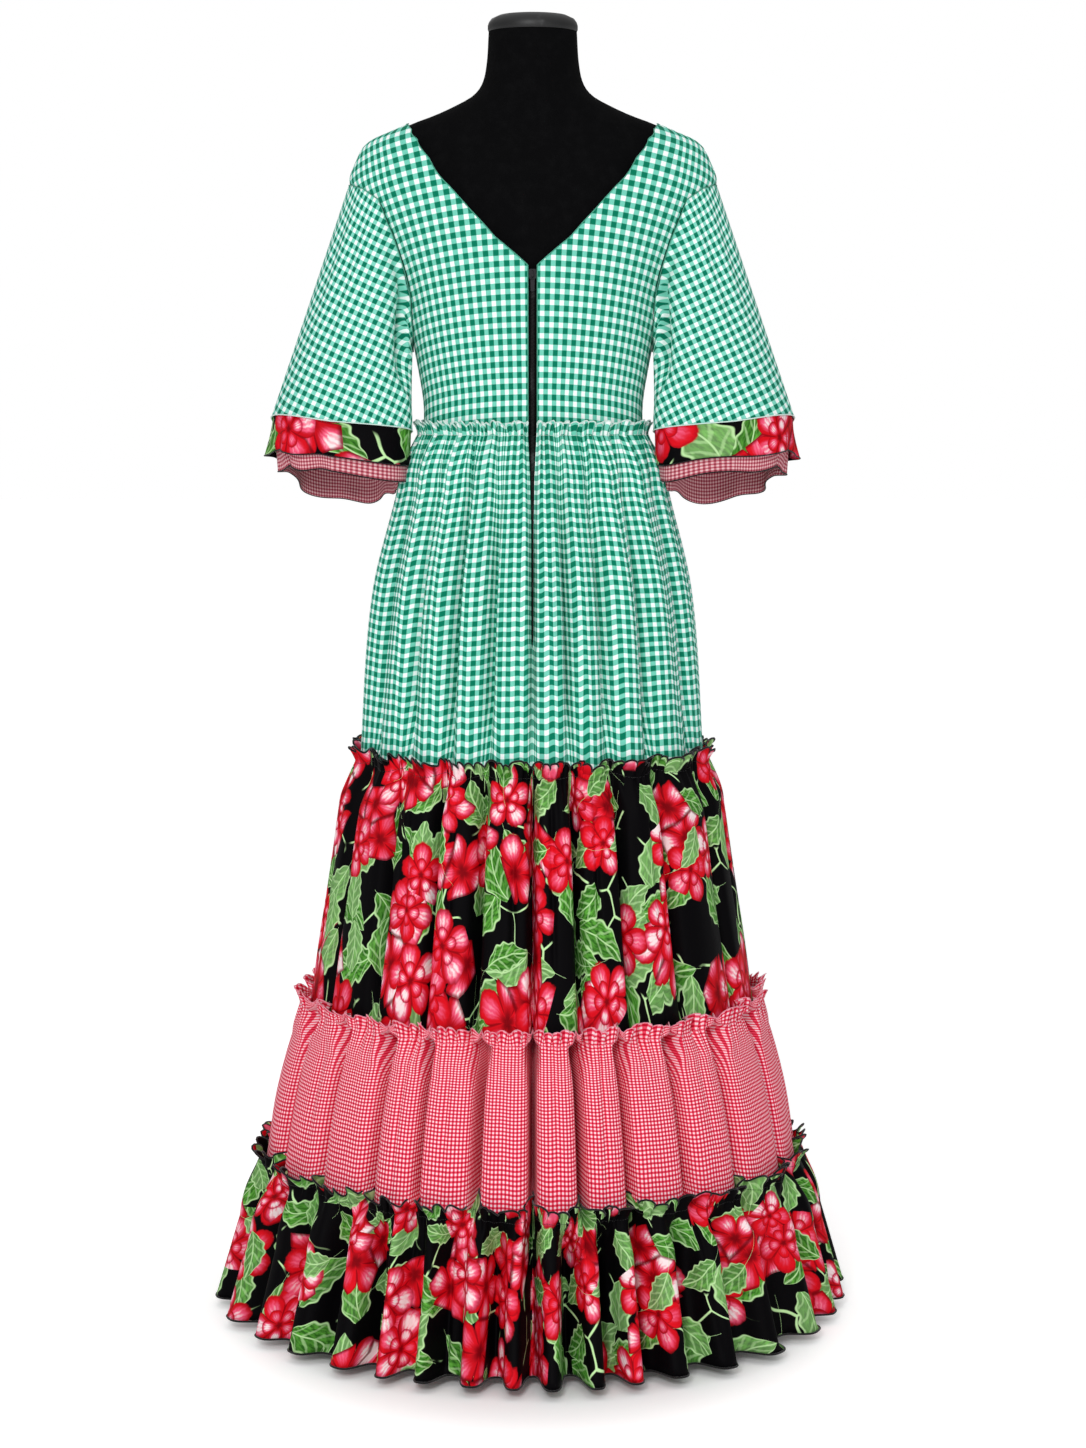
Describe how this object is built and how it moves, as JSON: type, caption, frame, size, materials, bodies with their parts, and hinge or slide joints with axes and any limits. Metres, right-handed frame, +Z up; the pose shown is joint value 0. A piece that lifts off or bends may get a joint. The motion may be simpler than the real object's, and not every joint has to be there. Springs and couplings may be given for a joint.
{
  "type": "flamenco dress on dress form",
  "caption": "Floor-length tiered dress with a V back, zip, ruffled bell sleeves and gathered skirt, worn by a limbless black dress form on a round-footed stand.",
  "frame": {"origin": "middle of the underside of the stand's round foot, on the floor", "axes": "+Z up, -Y towards the viewer of the dress's back with its zip, +X to that viewer's right"},
  "size_m": [0.753, 0.7551, 1.517],
  "materials": {
    "green_gingham": "woven cotton check, matt",
    "pink_gingham": "small woven check, matt",
    "floral": "printed viscose, soft sheen",
    "form_black": "stretched jersey, matt",
    "cap_black": "satin black",
    "stand_black": "powder coat",
    "zip_black": "woven tape",
    "zip_metal": "gunmetal"
  },
  "bodies": {
    "dress_and_stand": {"bodice_front": "green_gingham", "bodice_back_left": "green_gingham", "bodice_back_right": "green_gingham", "sleeve_left": "green_gingham", "sleeve_right": "green_gingham", "cuff_floral_left": "floral", "cuff_floral_right": "floral", "cuff_pink_left": "pink_gingham", "cuff_pink_right": "pink_gingham", "skirt_top_front_left": "green_gingham", "skirt_top_front_right": "green_gingham", "skirt_top_back_left": "green_gingham", "skirt_top_back_right": "green_gingham", "skirt_floral_front_left": "floral", "skirt_floral_front_right": "floral", "skirt_floral_back_left": "floral", "skirt_floral_back_right": "floral", "skirt_pink_front_left": "pink_gingham", "skirt_pink_front_right": "pink_gingham", "skirt_pink_back_left": "pink_gingham", "skirt_pink_back_right": "pink_gingham", "hem_flounce_front_left": "floral", "hem_flounce_front_right": "floral", "hem_flounce_back_left": "floral", "hem_flounce_back_right": "floral", "zip_tape": "zip_black", "zip_slider": "zip_metal", "form_body": "form_black", "neck_cap": "cap_black", "stand_pole": "stand_black", "stand_base": "stand_black"},
    "pull_tab": {"zip_pull": "zip_metal"}
  },
  "joints": [
    {"name": "pull_tab_swing", "type": "hinge", "parent": "dress_and_stand", "child": "pull_tab", "pos_m": [0, -0.10534, 1.216], "axis": [-1, 0, 0], "range_deg": [0, 165]}
  ]
}
